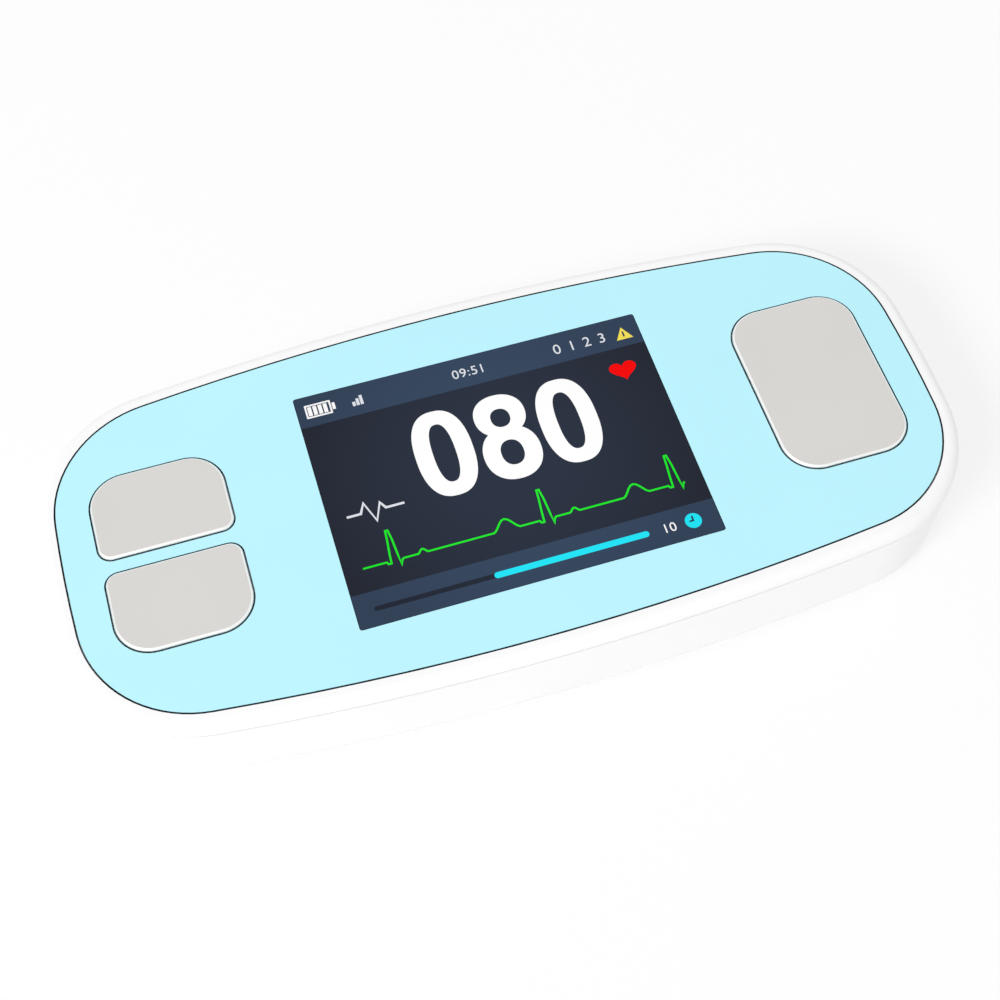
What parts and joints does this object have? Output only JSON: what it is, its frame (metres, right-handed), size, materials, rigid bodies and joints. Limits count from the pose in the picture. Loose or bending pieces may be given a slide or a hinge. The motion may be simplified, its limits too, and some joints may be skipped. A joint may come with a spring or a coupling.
{
  "type": "patient monitor",
  "caption": "Palm-size heart-rhythm monitor: slim white housing, pale blue face plate, colour screen, steel skin electrodes, side power key and charging port under a soft flap.",
  "frame": {"origin": "middle of the flat back, where the monitor lies on a table", "axes": "+X along the length towards the single electrode, +Y away from the user, +Z out of the screen"},
  "size_m": [0.1224, 0.0572, 0.0159],
  "materials": {
    "housing_white": "satin moulded ABS",
    "plate_blue": "smooth satin",
    "key_blue": "satin",
    "window_dark": "smooth",
    "clear_bond": "clear",
    "electrode_steel": "fine satin",
    "screw_steel": "zinc plated",
    "insert_brass": "knurled",
    "spring_bronze": "smooth",
    "black_foam": "matte",
    "grey_adhesive": "matte",
    "panel_glass": "polished",
    "tray_white": "matte",
    "carrier_grey": "matte",
    "flex_amber": "smooth film",
    "connector_cream": "matte",
    "board_green": "solder mask",
    "chip_black": "moulded epoxy",
    "component_grey": "fired",
    "can_metal": "tinned",
    "socket_steel": "drawn",
    "flap_rubber": "soft matte",
    "cell_foil": "foil pouch",
    "cap_amber": "tape",
    "lead_rubber": "insulated wire"
  },
  "bodies": {
    "housing": {"rear_shell": "housing_white", "front_shell": "housing_white", "face_plate": "plate_blue", "plate_adhesive": "grey_adhesive", "display_window": "window_dark", "optical_adhesive": "clear_bond", "display_gasket": "black_foam", "lcd_panel": "panel_glass", "lcd_backlight": "tray_white", "lcd_flex": "flex_amber", "flex_connector": "connector_cream", "display_carrier": "carrier_grey", "electrode_right": "electrode_steel", "electrode_upper_left": "electrode_steel", "electrode_lower_left": "electrode_steel", "electrode_nuts": "screw_steel", "contact_springs": "spring_bronze", "main_board": "board_green", "board_screws": "screw_steel", "housing_screws": "screw_steel", "threaded_inserts": "insert_brass", "processor_chip": "chip_black", "amplifier_chip": "chip_black", "memory_chip": "chip_black", "wireless_module": "can_metal", "crystal": "can_metal", "charger_chip": "chip_black", "power_coil": "component_grey", "board_passives": "component_grey", "buzzer": "chip_black", "usb_receptacle": "socket_steel", "usb_tongue": "chip_black", "flap_anchor": "flap_rubber", "switch_body": "chip_black", "battery_cell": "cell_foil", "battery_cap": "cap_amber", "battery_pad": "black_foam", "battery_lead": "lead_rubber", "battery_plug": "connector_cream"},
    "flap": {"port_flap": "flap_rubber"},
    "key": {"power_button": "key_blue", "switch_plunger": "connector_cream"}
  },
  "joints": [
    {"name": "flap_hinge", "type": "hinge", "parent": "housing", "child": "flap", "pos_m": [-0.06085, -0.0063, 0.00657], "axis": [0, 0, 1], "range_deg": [0, 110]},
    {"name": "power_key", "type": "slide", "parent": "housing", "child": "key", "axis": [0, -1, 0], "range_m": [0, 0.0004], "stiffness_N_per_m": 4000}
  ]
}
